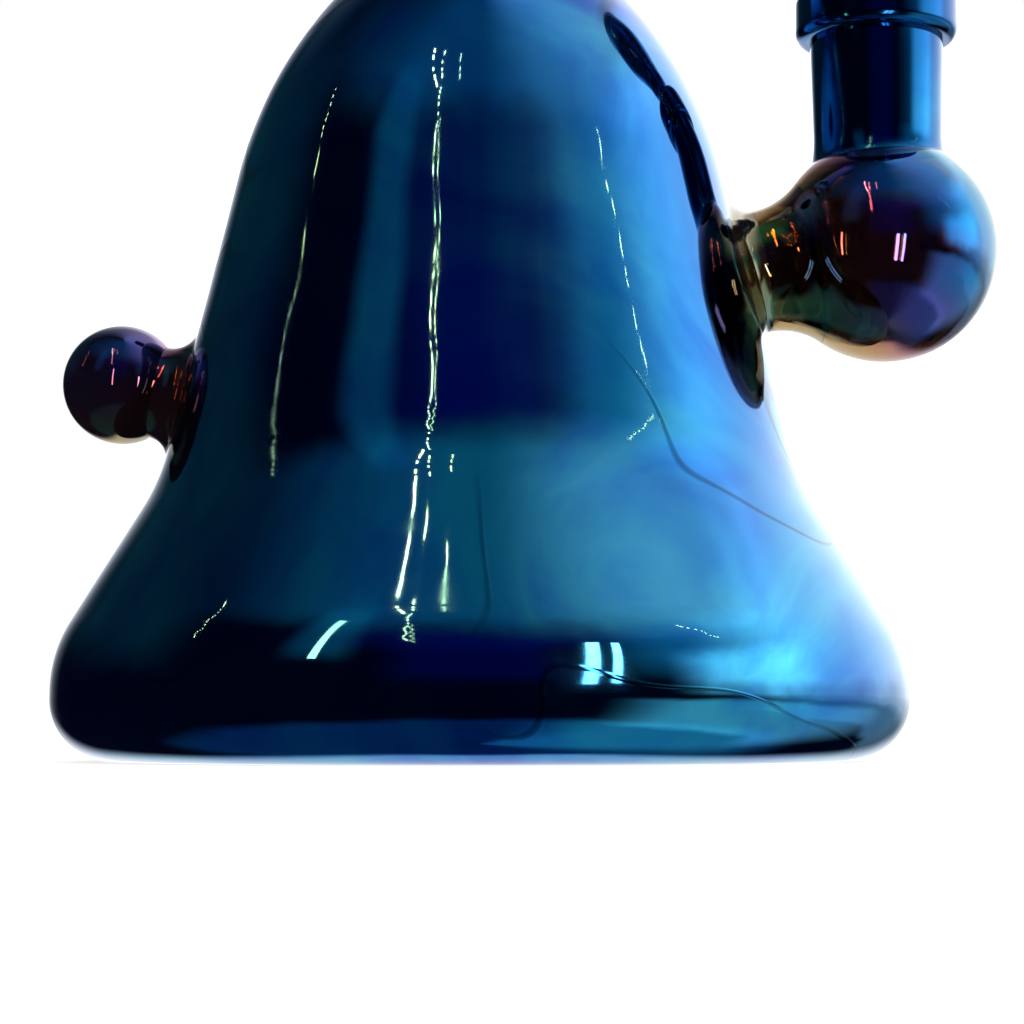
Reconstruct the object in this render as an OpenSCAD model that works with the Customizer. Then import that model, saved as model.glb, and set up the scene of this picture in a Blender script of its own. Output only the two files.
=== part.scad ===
// Bell-shaped glass water vessel with a bulbed side arm, a ground-glass socket,
// a lift-out bowl, a grip knob and a straight neck.
// Millimetres. +Z is up, the origin is the centre of the flat base,
// the side arm points along +X and the knob along -X.

/* [Bell] */
// Greatest diameter of the bell, at its heel
bell_d = 116; // [110:1:122]
// Glass thickness of the bell, its base and its neck
wall = 3.2; // [2.8:0.1:3.6]

/* [Neck] */
// Outside diameter of the neck tube
neck_d = 26; // [25:0.5:28]
// Height of the whole vessel, up to the mouthpiece rim
total_h = 190; // [175:1:205]

/* [Side arm] */
// Outside diameter of the hollow bulb
bulb_d = 31.2; // [30.4:0.1:32]
// Glass thickness of the bulb
bulb_wall = 2.2; // [1.8:0.1:2.6]
// Distance from the bell's axis to the bulb's centre
bulb_x = 56; // [55.4:0.1:57]
// Narrowest outside radius of the arm, between the bulb and the bell
arm_r = 8.5; // [8.3:0.1:8.9]
// Rise of the arm above horizontal, outwards
arm_tilt = 10; // [8:0.5:13]

/* [Ground joint] */
// Diameter of the ground taper at its mouth
joint_d = 14.5; // [14.3:0.1:14.6]
// Length of the ground taper, which narrows by 1 in 10
joint_l = 20; // [18:0.5:20]
// Radial gap between the bowl's plug and its socket
joint_gap = 0.05; // [0.03:0.01:0.1]

/* [Knob] */
// Diameter of the solid grip ball
knob_d = 16.4; // [15.8:0.1:17]
// Rise of the knob's axis above horizontal, outwards
knob_tilt = 12; // [10:0.5:14]

/* [Bowl] */
// Greatest outside diameter of the bowl
bowl_d = 24; // [21:0.5:25]
// Height of the bowl's cup above its neck
bowl_h = 24; // [20:0.5:26]

/* [Water stem] */
// Outside diameter of the stem inside the bell
stem_d = 12; // [11:0.1:12]
// Number of slots in the diffuser's skirt
slot_count = 12; // [8:1:16]

/* [Hidden] */
$fn = 96;

// Colours of the finished glass
lustre_blue = [0.04, 0.20, 0.46];
lustre_dark = [0.16, 0.10, 0.16];
inner_glass = [0.62, 0.55, 0.42];

// ---- Bell outline: tangent arcs and straight lines, from the base up ----
bell_r = bell_d / 2;
neck_r = neck_d / 2;
heel_r = 8.4 / 116 * bell_d;     // tight arc under the widest ring
hip_z = 9.1 / 116 * bell_d;      // height of the widest ring's upper edge
hip_r = 18.3 / 116 * bell_d;     // rounder arc above it
flare_a = 31;                    // lean of the flared skirt, from vertical
flare_l = 18 / 116 * bell_d;     // length of its straight stretch
waist_r = 32 / 116 * bell_d;     // hollow arc between skirt and flank
flank_a = 13.4;                  // lean of the flank, from vertical
flank_l = 37.9 / 116 * bell_d;   // length of its straight stretch
dome_r = 58.7 / 116 * bell_d;    // arc of the shoulder
crown_r = 7;                // hollow arc from shoulder to neck
stub_l = 3.5;               // straight neck stub above the crown

function dir(a) = [cos(a), sin(a)];
function arc(c, r, a0, a1, n) = [for (i = [0:n]) c + r * dir(a0 + (a1 - a0) * i / n)];
function flip(list) = [for (i = [len(list) - 1:-1:0]) list[i]];

heel_c = [bell_r - heel_r, heel_r];
hip_c = [bell_r - hip_r, hip_z];
skirt_low = hip_c + hip_r * dir(flare_a);
skirt_top = skirt_low + flare_l * dir(flare_a + 90);
waist_c = skirt_top + waist_r * dir(flare_a);
flank_low = waist_c - waist_r * dir(flank_a);
flank_top = flank_low + flank_l * dir(flank_a + 90);
dome_c = flank_top - dome_r * dir(flank_a);
crown_x = neck_r + crown_r;
crown_c = [crown_x, dome_c[1] + sqrt(pow(dome_r + crown_r, 2) - pow(crown_x - dome_c[0], 2))];
crown_a = atan2(crown_c[1] - dome_c[1], crown_c[0] - dome_c[0]);
stub_top = crown_c[1] + stub_l;

// The outline moved inwards by t, so that outline(0) and outline(wall) are the two faces of the glass.
function outline(t) = concat(
    arc(heel_c, heel_r - t, -90, 0, 14),
    arc(hip_c, hip_r - t, 0, flare_a, 7),
    arc(waist_c, waist_r + t, flare_a + 180, flank_a + 180, 8),
    arc(dome_c, dome_r - t, flank_a, crown_a, 14),
    arc(crown_c, crown_r + t, crown_a + 180, 180, 8),
    [[neck_r - t, stub_top]]
);

// Height on the flank where a line from (x, z), leaning down by flank_a, meets the glass.
function flank_gap(x, z) =
    let (n = dir(flank_a)) (x - flank_low[0]) * n[0] + (z - flank_low[1]) * n[1];

// ---- Neck ----
collar_h = 7;
collar_out = 2.6;           // how far the collar stands out of the neck
rim_h = 6;
rim_out = 2.2;
neck_low = stub_top + collar_h;
neck_top = total_h - rim_h;

// ---- Side arm: d runs from the bulb's centre towards the bell, square to the flank ----
bulb_r = bulb_d / 2;
bulb_z = 70.5 / 116 * bell_d;
arm_wall_d = flank_gap(bulb_x, bulb_z);          // bulb centre to the bell's glass
waist_gap = 2.2;                                 // from the bell's glass to the arm's narrowest place
arm_waist_d = arm_wall_d - waist_gap;
arm_fillet = (pow(arm_waist_d, 2) + arm_r * arm_r - bulb_r * bulb_r) / (2 * (bulb_r - arm_r));
arm_fillet_c = [arm_r + arm_fillet, -arm_waist_d];
bulb_seam_a = atan2(arm_waist_d, arm_fillet_c[0]);
bulb_seam = bulb_r * dir(-bulb_seam_a);
arm_bore = 6.4;
seam_lap = 0.6;                                  // extra glass inside, where arm and bulb are joined
arm_foot_l = 0.5;                                // straight start of the foot
foot_fillet = 3.4;                               // hollow arc where the arm meets the bell
foot_turn = 62;                                  // how far that arc turns outwards
foot_sunk = 9;                                   // the foot is drawn this deep, then cut off at the bell

// ---- Ground joint ----
socket_shift = 0.7;                              // the socket stands this much nearer the bell than the bulb
socket_rise = 11.4;                              // from the bulb's centre to the socket's lower end
socket_l = 25.3;
socket_widen_l = 16;                             // height over which the socket widens
socket_edge = 0.6;                               // bevel around its top
mouth_bevel = 0.5;                               // widening of the bore above the ground taper
mouth_l = 1.6;                                   // height of that widening
socket_x = bulb_x - socket_shift;
socket_low = bulb_z + socket_rise;
socket_top = socket_low + socket_l;
taper_top = socket_top - mouth_l;
taper_low = taper_top - joint_l;
taper_slope = 1 / 20;                            // loss of radius per millimetre of depth
taper_r = joint_d / 2;
taper_end_r = taper_r - joint_l * taper_slope;
socket_r = 9.2;                                  // outside, under the rim
socket_low_r = 8.8;                              // outside, at the bulb
rim_r = socket_r + 2.1;                          // outside of the rolled collar
rim_l = 7.3;                                     // height of the collar
rim_low_edge = 1.6;                              // rounding below
rim_top_edge = 2.05;                             // rounding above

// ---- Knob: d runs from the ball's centre towards the bell ----
knob_r = knob_d / 2;
knob_x = 49.4 / 116 * bell_d;
knob_z = 51.6 / 116 * bell_d;
knob_seam_d = 5;
knob_neck_r = sqrt(knob_r * knob_r - knob_seam_d * knob_seam_d);
knob_fillet = 4.6;
knob_turn = 68;
knob_sunk = 12;                                  // the foot is drawn this deep, then cut off at the bell

// ---- Water stem and diffuser ----
stem_r = stem_d / 2;
stem_bore = stem_r - 1.8;
stem_lap = 1.5;                                  // overlap of the stem's straight ends and its bend
stem_step = 0.15;
bend_r = 14;
bend_turn = 90 - arm_tilt;
stem_corner_z = bulb_z - bulb_x * tan(arm_tilt);
bend_run = bend_r * tan(bend_turn / 2);
stem_out = 1.4;                                  // how far the stem stands out of the bell into the arm
stem_start_d = arm_wall_d - stem_out;
stem_corner_d = bulb_x / cos(arm_tilt);
stem_hole_deep = 12;                             // the hole for the stem reaches this far into the bell
stem_hole_l = 16;
diffuser_r = 17;
diffuser_h = 15;
diffuser_low = wall + 4.6;
diffuser_top = diffuser_low + diffuser_h;
diffuser_shoulder = 6;                           // rounding of its upper edge
skin = 2;
slot_w = 2.2;
slot_h = 7;

// ---- Bowl ----
bowl_r = bowl_d / 2;
plug_tip = 1;                                    // how far the plug reaches below the taper
plug_low = taper_low - plug_tip;
plug_r = taper_r - joint_gap;
plug_top = socket_top + 1;
plug_bore = 4.2;
bowl_neck_r = 5.7;
bowl_neck_h = 7;
cup_foot_r = 6.6;
cup_low = plug_top + bowl_neck_h;
cup_wall = 2.2;
swell_to = 0.66;                                 // part of its height over which the cup widens
cup_close = 1.3;                                 // how much it closes in above that
lip_swell = 0.35;                                // the lip is this much fuller than the wall
draw_hole = 2.2;                                 // radius of the hole in the cup's floor
floor_edge = 3;                                  // height where the cup's floor meets its wall
floor_h = 2.2;                                   // thickness of the floor at the hole
neck_floor = 2.5;                                // height of the inner cone under the hole

module bell_solid() {
    rotate_extrude() polygon(concat([[0, 0]], outline(0), [[0, stub_top]]));
}

module on_arm() {
    translate([bulb_x, 0, bulb_z]) rotate([0, 90 - arm_tilt, 0]) children();
}

module on_knob() {
    translate([-knob_x, 0, knob_z]) rotate([0, knob_tilt - 90, 0]) children();
}

module ring(r_in, r_out, z0, z1) {
    translate([0, 0, z0]) difference() {
        cylinder(r = r_out, h = z1 - z0);
        translate([0, 0, -1]) cylinder(r = r_in, h = z1 - z0 + 2);
    }
}

// ---- Bell, base and neck ----
module bell_body() {
    color(lustre_blue) difference() {
        rotate_extrude() polygon(concat(outline(0), flip(outline(wall))));
        on_arm() translate([0, 0, -arm_wall_d - stem_hole_deep]) cylinder(r = stem_r, h = stem_hole_l);
    }
}

module base_disc() {
    color(lustre_blue) cylinder(r = heel_c[0], h = wall);
}

module neck_collar() {
    bead = (pow(collar_h / 2, 2) + pow(collar_out, 2)) / (2 * collar_out);
    color(lustre_blue) translate([0, 0, stub_top]) rotate_extrude() intersection() {
        translate([neck_r - wall, 0]) square([wall + collar_out, collar_h]);
        union() {
            square([neck_r, collar_h]);
            translate([neck_r + collar_out - bead, collar_h / 2]) circle(r = bead);
        }
    }
}

module neck_tube() {
    color(lustre_blue) ring(neck_r - wall, neck_r, neck_low, neck_top);
}

module mouth_rim() {
    lip = (wall + rim_out) / 2;
    color(lustre_blue) translate([0, 0, neck_top]) rotate_extrude() union() {
        translate([neck_r - wall, 0]) square([wall, rim_h - lip]);
        translate([neck_r - wall + lip, rim_h - lip]) circle(r = lip);
    }
}

// ---- Side arm ----
module arm_foot() {
    low = arm_waist_d + arm_foot_l;
    edge = [arm_r + foot_fillet, -low] + foot_fillet * dir(180 + foot_turn);
    color(lustre_dark) difference() {
        on_arm() rotate_extrude() polygon(concat(
            [[arm_bore, -arm_waist_d], [arm_r, -arm_waist_d]],
            arc([arm_r + foot_fillet, -low], foot_fillet, 180, 180 + foot_turn, 10),
            [[edge[0], -low - foot_sunk], [arm_bore, -low - foot_sunk]]
        ));
        bell_solid();
    }
}

module arm_neck() {
    low = arm_waist_d;
    color(lustre_dark) on_arm() rotate_extrude() polygon(concat(
        [[arm_bore, -low]],
        arc(arm_fillet_c, arm_fillet, 180, 180 - bulb_seam_a, 12),
        [[bulb_seam[0] - bulb_wall - seam_lap, bulb_seam[1]]]
    ));
}

module arm_bulb() {
    color(lustre_dark) difference() {
        on_arm() difference() {
            sphere(r = bulb_r);
            sphere(r = bulb_r - bulb_wall);
            translate([0, 0, bulb_seam[1] - bulb_d]) cylinder(r = bulb_d, h = bulb_d);
        }
        socket_outer();
    }
}

// ---- Ground joint ----
module socket_outer() {
    translate([socket_x, 0, socket_low]) cylinder(r1 = socket_low_r, r2 = socket_r, h = socket_widen_l);
}

module socket_tube() {
    color(lustre_blue) translate([socket_x, 0, 0]) rotate_extrude() polygon([
        [taper_end_r, socket_low], [socket_low_r, socket_low],
        [socket_r, socket_low + socket_widen_l],
        [socket_r, socket_top - socket_edge], [socket_r - socket_edge, socket_top],
        [taper_r + mouth_bevel, socket_top], [taper_r, taper_top], [taper_end_r, taper_low]
    ]);
}

module socket_rim() {
    low = socket_top - rim_l;
    color(lustre_blue) translate([socket_x, 0, 0]) rotate_extrude() polygon(concat(
        [[socket_r, low]],
        arc([rim_r - rim_low_edge, low + rim_low_edge], rim_low_edge, -90, 0, 8),
        arc([rim_r - rim_top_edge, socket_top - rim_top_edge], rim_top_edge, 0, 90, 8),
        [[socket_r - socket_edge, socket_top], [socket_r, socket_top - socket_edge]]
    ));
}

// ---- Knob ----
module knob_foot() {
    centre = [knob_neck_r + knob_fillet, -knob_seam_d];
    edge = centre + knob_fillet * dir(180 + knob_turn);
    color(lustre_dark) difference() {
        on_knob() rotate_extrude() polygon(concat(
            [[0, -knob_seam_d]],
            arc(centre, knob_fillet, 180, 180 + knob_turn, 12),
            [[edge[0], -knob_seam_d - knob_sunk], [0, -knob_seam_d - knob_sunk]]
        ));
        bell_solid();
    }
}

module knob_ball() {
    color(lustre_dark) on_knob() difference() {
        sphere(r = knob_r);
        translate([0, 0, -knob_seam_d - knob_d]) cylinder(r = knob_d, h = knob_d);
    }
}

// ---- Water stem and diffuser ----
module stem_shape(straight_r, curved_r, over) {
    run_low = -stem_corner_d + bend_run - stem_lap;
    drop_low = diffuser_top - skin - over;
    bend_z = stem_corner_z - bend_run;
    on_arm() translate([0, 0, run_low])
        cylinder(r = straight_r, h = -stem_start_d + over - run_low);
    translate([bend_r, 0, bend_z]) rotate([90, 0, 0]) rotate([0, 0, 180 - bend_turn])
        rotate_extrude(angle = bend_turn) translate([bend_r, 0]) circle(r = curved_r);
    translate([0, 0, drop_low])
        cylinder(r = straight_r, h = bend_z + stem_lap - drop_low);
}

// The tube thickens a little where the bend runs into its two straight ends.
module down_stem() {
    color(inner_glass) difference() {
        stem_shape(stem_r, stem_r - stem_step, 0);
        stem_shape(stem_bore, stem_bore + stem_step, 1);
    }
}

module diffuser() {
    shoulder = [diffuser_r - diffuser_shoulder, diffuser_h - diffuser_shoulder];
    color(inner_glass) difference() {
        translate([0, 0, diffuser_low]) rotate_extrude() polygon(concat(
            [[diffuser_r, 0]],
            arc(shoulder, diffuser_shoulder, 0, 90, 8),
            [[stem_r, diffuser_h], [stem_r, diffuser_h - skin]],
            arc(shoulder, diffuser_shoulder - skin, 90, 0, 8),
            [[diffuser_r - skin, 0]]
        ));
        for (i = [0:slot_count - 1])
            rotate([0, 0, i * 360 / slot_count])
                translate([diffuser_r / 2, -slot_w / 2, diffuser_low - 1])
                    cube([diffuser_r, slot_w, slot_h + 1]);
    }
}

// ---- Lift-out bowl ----
module bowl_plug() {
    tip_r = taper_end_r - joint_gap - plug_tip * taper_slope;
    color(lustre_blue) translate([socket_x, 0, 0]) rotate_extrude() polygon([
        [plug_bore, plug_low], [tip_r, plug_low],
        [plug_r, taper_top], [plug_r, plug_top], [plug_bore, plug_top]
    ]);
}

module bowl_neck() {
    color(lustre_blue) translate([socket_x, 0, plug_top]) rotate_extrude() polygon(concat(
        [[plug_bore, 0]],
        [for (i = [0:14]) neck_point(i / 14)],
        [[draw_hole, bowl_neck_h], [draw_hole, bowl_neck_h - neck_floor]]
    ));
}

// The neck draws in between the plug and the foot of the cup.
function neck_point(t) = [
    bowl_neck_r + ((t < 0.5 ? plug_r : cup_foot_r) - bowl_neck_r) * pow(cos(t * 180), 2),
    bowl_neck_h * t
];

module bowl_cup() {
    color(lustre_blue) translate([socket_x, 0, cup_low]) rotate_extrude() polygon(concat(
        [[draw_hole, 0]],
        [for (i = [0:16]) cup_point(i / 16, 0)],
        [for (i = [16:-1:3]) cup_point(i / 16, cup_wall)],
        [[draw_hole, floor_h]]
    ));
}

// The cup widens like a funnel, then closes in a little.
function cup_point(t, inset) =
    let (
        swell = (1 - cos(min(t / swell_to, 1) * 180)) / 2,
        close = pow(max(t - swell_to, 0) / (1 - swell_to), 2)
    )
    [
        cup_foot_r + (bowl_r - cup_foot_r) * swell - cup_close * close - inset,
        max(bowl_h * t, inset > 0 ? floor_edge : 0)
    ];

module bowl_rim() {
    edge = cup_point(1, cup_wall / 2);
    lip = cup_wall / 2 + lip_swell;
    color(lustre_blue) translate([socket_x, 0, cup_low]) rotate_extrude() difference() {
        translate(edge) circle(r = lip);
        translate(edge - 2 * [lip, lip]) square([4 * lip, 2 * lip]);
    }
}

bell_body();
base_disc();
neck_collar();
neck_tube();
mouth_rim();
arm_foot();
arm_neck();
arm_bulb();
socket_tube();
socket_rim();
down_stem();
diffuser();
knob_foot();
knob_ball();
bowl_plug();
bowl_neck();
bowl_cup();
bowl_rim();
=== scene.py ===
"""A bell-shaped glass water vessel with a metallic lustre: its glass, its light and its camera."""
import bpy
import math
from mathutils import Matrix, Vector, noise


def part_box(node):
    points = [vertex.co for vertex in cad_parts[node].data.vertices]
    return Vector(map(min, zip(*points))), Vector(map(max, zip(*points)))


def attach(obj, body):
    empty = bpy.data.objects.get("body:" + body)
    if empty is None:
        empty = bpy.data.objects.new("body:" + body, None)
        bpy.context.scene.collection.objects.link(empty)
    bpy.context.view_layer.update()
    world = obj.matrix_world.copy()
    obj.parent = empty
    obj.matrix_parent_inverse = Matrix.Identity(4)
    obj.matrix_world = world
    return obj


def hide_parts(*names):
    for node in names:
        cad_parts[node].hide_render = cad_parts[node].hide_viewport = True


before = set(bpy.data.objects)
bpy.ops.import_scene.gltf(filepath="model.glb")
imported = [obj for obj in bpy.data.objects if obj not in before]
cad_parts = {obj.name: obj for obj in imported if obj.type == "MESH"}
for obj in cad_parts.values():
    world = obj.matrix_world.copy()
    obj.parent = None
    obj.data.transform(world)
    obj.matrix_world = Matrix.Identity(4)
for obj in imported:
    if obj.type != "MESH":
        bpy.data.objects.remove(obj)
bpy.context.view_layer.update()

MM = 0.001
SIDES = 192         # corners round a turned piece
SHARP = 40          # degrees between two faces from which their edge is drawn sharp


# ---------------------------------------------------------------- measures, in millimetres
def box_mm(node):
    """The lowest and the highest corner of a node's box."""
    low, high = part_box(node)
    return low / MM, high / MM


BELL_HIGH = box_mm("bell_body")[1]
BELL_R = BELL_HIGH.x
WALL = box_mm("base_disc")[1].z
BASE_R = box_mm("base_disc")[1].x
NECK_R = box_mm("neck_tube")[1].x
STUB_TOP = BELL_HIGH.z
NECK_LOW = box_mm("neck_tube")[0].z
NECK_TOP = box_mm("neck_tube")[1].z
RIM_TOP = box_mm("mouth_rim")[1].z
COLLAR_R = box_mm("neck_collar")[1].x
RIM_R = box_mm("mouth_rim")[1].x

# The bell's outline is made of the same tangent arcs and lines as in the design, at its radius there.
DESIGN_R = 58
SCALE = BELL_R / DESIGN_R
HEEL_R = BELL_R - BASE_R
HIP_Z = 9.1 * SCALE
HIP_R = 18.3 * SCALE
FLARE_LEAN = 31
FLARE_L = 18 * SCALE
WAIST_R = 32 * SCALE
FLANK_LEAN = 13.4
FLANK_L = 37.9 * SCALE
DOME_R = 58.7 * SCALE
CROWN_R = 7

BULB_LOW, BULB_HIGH = box_mm("arm_bulb")
BULB_R = (BULB_HIGH.y - BULB_LOW.y) / 2
BULB_C = Vector((BULB_HIGH.x - BULB_R, 0, BULB_LOW.z + BULB_R))
BULB_WALL = 2.2
ARM_LEAN = 10
ARM_R = 8.5
ARM_BORE = 6.4

SOCKET_LOW, SOCKET_HIGH = box_mm("socket_tube")
SOCKET_X = (SOCKET_LOW.x + SOCKET_HIGH.x) / 2
SOCKET_R = (SOCKET_HIGH.x - SOCKET_LOW.x) / 2
LIP_LOW, LIP_HIGH = box_mm("socket_rim")
LIP_R = LIP_HIGH.x - SOCKET_X

KNOB_LOW, KNOB_HIGH = box_mm("knob_ball")
KNOB_R = (KNOB_HIGH.y - KNOB_LOW.y) / 2
KNOB_C = Vector((KNOB_LOW.x + KNOB_R, 0, (KNOB_LOW.z + KNOB_HIGH.z) / 2))
KNOB_LEAN = 12
KNOB_SEAM = 5

PLUG_LOW, PLUG_HIGH = box_mm("bowl_plug")
WAIST_LOW, WAIST_HIGH = box_mm("bowl_neck")
CUP_LOW, CUP_HIGH = box_mm("bowl_cup")
STEM_LOW, STEM_HIGH = box_mm("down_stem")
STEM_R = (STEM_HIGH.y - STEM_LOW.y) / 2


# ---------------------------------------------------------------- outlines
def ray(angle):
    """The direction at an angle in degrees, in the plane of an outline."""
    turn = math.radians(angle)
    return Vector((math.cos(turn), math.sin(turn)))


def arc(centre, radius, start, end, step=1.5):
    """Points round centre from one angle to another, about step degrees apart."""
    count = max(2, int(abs(end - start) / step))
    return [centre + radius * ray(start + (end - start) * i / count) for i in range(count + 1)]


def line(start, end, step=1.2):
    """Points from start to end, about step apart."""
    count = max(1, int((end - start).length / step))
    return [start.lerp(end, i / count) for i in range(count + 1)]


def on_axis(outline):
    """The outline with its points beside the axis put right on it."""
    return [Vector((p.x if p.x > 1e-3 else 0.0, p.y)) for p in outline]


def bell_outline(inset=0.0):
    """The bell's section from base to neck, moved inwards by inset."""
    heel = Vector((BELL_R - HEEL_R, HEEL_R))
    hip = Vector((BELL_R - HIP_R, HIP_Z))
    skirt_low = hip + HIP_R * ray(FLARE_LEAN)
    skirt_top = skirt_low + FLARE_L * ray(FLARE_LEAN + 90)
    waist = skirt_top + WAIST_R * ray(FLARE_LEAN)
    flank_low = waist - WAIST_R * ray(FLANK_LEAN)
    flank_top = flank_low + FLANK_L * ray(FLANK_LEAN + 90)
    dome = flank_top - DOME_R * ray(FLANK_LEAN)
    crown_x = NECK_R + CROWN_R
    crown_rise = math.sqrt((DOME_R + CROWN_R) ** 2 - (crown_x - dome.x) ** 2)
    crown = Vector((crown_x, dome.y + crown_rise))
    crown_turn = math.degrees(math.atan2(crown_rise, crown_x - dome.x))
    stretches = (
        arc(heel, HEEL_R - inset, -90, 0),
        arc(hip, HIP_R - inset, 0, FLARE_LEAN),
        line(skirt_low - inset * ray(FLARE_LEAN), skirt_top - inset * ray(FLARE_LEAN)),
        arc(waist, WAIST_R + inset, FLARE_LEAN + 180, FLANK_LEAN + 180),
        line(flank_low - inset * ray(FLANK_LEAN), flank_top - inset * ray(FLANK_LEAN)),
        arc(dome, DOME_R - inset, FLANK_LEAN, crown_turn),
        arc(crown, CROWN_R + inset, crown_turn + 180, 180),
        line(Vector((NECK_R - inset, crown.y)), Vector((NECK_R - inset, STUB_TOP))),
    )
    points = []
    for stretch in stretches:
        for p in stretch:
            if not points or (p - points[-1]).length > 1e-4:
                points.append(p)
    return points


OUTLINE = bell_outline()


def bell_radius(z):
    """The bell's outer radius at a height, read off its outline."""
    for a, b in zip(OUTLINE, OUTLINE[1:]):
        if a.y <= z <= b.y:
            return a.x + (b.x - a.x) * (z - a.y) / max(b.y - a.y, 1e-9)
    return NECK_R


# ---------------------------------------------------------------- mesh building
def finish_mesh(name, verts, faces, materials, face_slots=None):
    """A piece with smooth faces. face_slots gives the number of each face's material."""
    mesh = bpy.data.meshes.new(name)
    mesh.from_pydata([Vector(v) * MM for v in verts], [], faces)
    mesh.validate()
    for material in materials:
        mesh.materials.append(material)
    for i, polygon in enumerate(mesh.polygons):
        polygon.use_smooth = True
        if face_slots:
            polygon.material_index = face_slots[i]
    mesh.set_sharp_from_angle(angle=math.radians(SHARP))
    mesh.update()
    piece = bpy.data.objects.new(name, mesh)
    bpy.context.scene.collection.objects.link(piece)
    return piece


def ripple(point, amount, size):
    """The small unevenness of blown glass: a move along the radius, the same on every run."""
    if not amount:
        return point
    push = noise.noise(Vector(point) / size) + 0.4 * noise.noise(Vector(point) / (size * 0.45))
    flat = Vector((point.x, point.y, 0))
    if flat.length < 1e-6:
        return point
    return point + flat.normalized() * push * amount


def lathe(name, outline, materials, place=None, sides=SIDES, inner_from=None, uneven=0.0, size=22):
    """A closed outline turned about Z. Its faces from point inner_from on take the second material."""
    place = place or Matrix.Identity(4)
    verts, rings = [], []
    for p in outline:
        if p[0] < 1e-4:
            rings.append([len(verts)])
            verts.append(place @ Vector((0, 0, p[1])))
            continue
        rings.append(list(range(len(verts), len(verts) + sides)))
        for k in range(sides):
            turn = 2 * math.pi * k / sides
            spot = Vector((p[0] * math.cos(turn), p[0] * math.sin(turn), p[1]))
            verts.append(place @ ripple(spot, uneven, size))
    faces, slots = [], []
    for i in range(len(rings)):
        a, b = rings[i], rings[(i + 1) % len(rings)]
        second = 1 if inner_from is not None and i >= inner_from else 0
        for k in range(sides):
            m = (k + 1) % sides
            if len(a) == 1 and len(b) == 1:
                break
            if len(a) == 1:
                face = (a[0], b[m], b[k])
            elif len(b) == 1:
                face = (a[k], a[m], b[0])
            else:
                face = (a[k], a[m], b[m], b[k])
            faces.append(face)
            slots.append(second)
    return finish_mesh(name, verts, faces, materials, slots)


def axis_place(centre, outward):
    """Local +Z along outward, at centre."""
    return Matrix.Translation(centre) @ outward.to_track_quat("Z", "Y").to_matrix().to_4x4()


def lean_axis(side, lean):
    """The direction to the right (side 1) or left (side -1) that rises by lean degrees."""
    turn = math.radians(lean)
    return Vector((side * math.cos(turn), 0, math.sin(turn)))


def inside_bell(point):
    """How far a point lies inside the bell's outer face. Below zero it is outside."""
    return bell_radius(point.z) - math.hypot(point.x, point.y)


def inside_bulb(point):
    """The same for the bulb."""
    return BULB_R - (point - BULB_C).length


def depth_to(inside, start, heading, far=40.0):
    """How far along heading from start the glass's surface lies, found by halving."""
    near = 0.0
    halvings = 44
    for _ in range(halvings):
        middle = (near + far) / 2
        if inside(start + heading * middle) < 0:
            near = middle
        else:
            far = middle
    return far


def fused_foot(name, centre, outward, tube_r, start, reach, bore, inside, materials, sides=144):
    """A melted-on foot: a hollow curve from a tube of tube_r to the surface that inside() describes."""
    steps = 16
    dip = 0.06          # the foot's edge lies this far under the surface
    sunk = 0.35         # and its end this far
    probe = 0.2         # the surface's slope is measured over this length
    pull = 0.6          # how strongly the curve keeps its direction at each end
    wander = 0.10       # how much the reach varies round the foot
    overlap = 0.1       # the foot's end is this much wider than its edge
    heading = -outward
    across = Vector((0, 1, 0))
    up = outward.cross(across)
    verts = []
    rows = steps + 2 + (2 if bore else 0)
    for k in range(sides):
        turn = 2 * math.pi * k / sides
        e = across * math.cos(turn) + up * math.sin(turn)

        def depth(radius):
            return depth_to(inside, centre + e * radius, heading)

        corner = depth(tube_r)
        end = tube_r + reach * (1 + wander * noise.noise(e * 1.7))
        end_depth = depth(end) + dip
        slope = (depth(end + probe) + dip - end_depth) / probe
        a = Vector((tube_r, start))
        b = Vector((tube_r, start + pull * (corner - start)))
        d = Vector((end, end_depth))
        c = d - pull * reach * Vector((1, slope))
        row = []
        for i in range(steps + 1):
            t = i / steps
            s = 1 - t
            row.append(a * s ** 3 + b * 3 * s * s * t + c * 3 * s * t * t + d * t ** 3)
        row.append(Vector((end + overlap, end_depth + sunk)))
        if bore:
            row += [Vector((bore, depth(bore) + sunk)), Vector((bore, start))]
        verts += [centre + e * p.x + heading * p.y for p in row]
    faces = []
    for k in range(sides):
        m = (k + 1) % sides
        for i in range(rows - 1 + (1 if bore else 0)):
            j = (i + 1) % rows
            faces.append((k * rows + i, k * rows + j, m * rows + j, m * rows + i))
    if not bore:
        top = len(verts)
        low = top + 1
        end_depth = depth_to(inside, centre, heading) + sunk
        verts += [centre + heading * start, centre + heading * end_depth]
        for k in range(sides):
            m = (k + 1) % sides
            faces.append((top, k * rows, m * rows))
            faces.append((low, m * rows + rows - 1, k * rows + rows - 1))
    return finish_mesh(name, verts, faces, materials)


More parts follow.
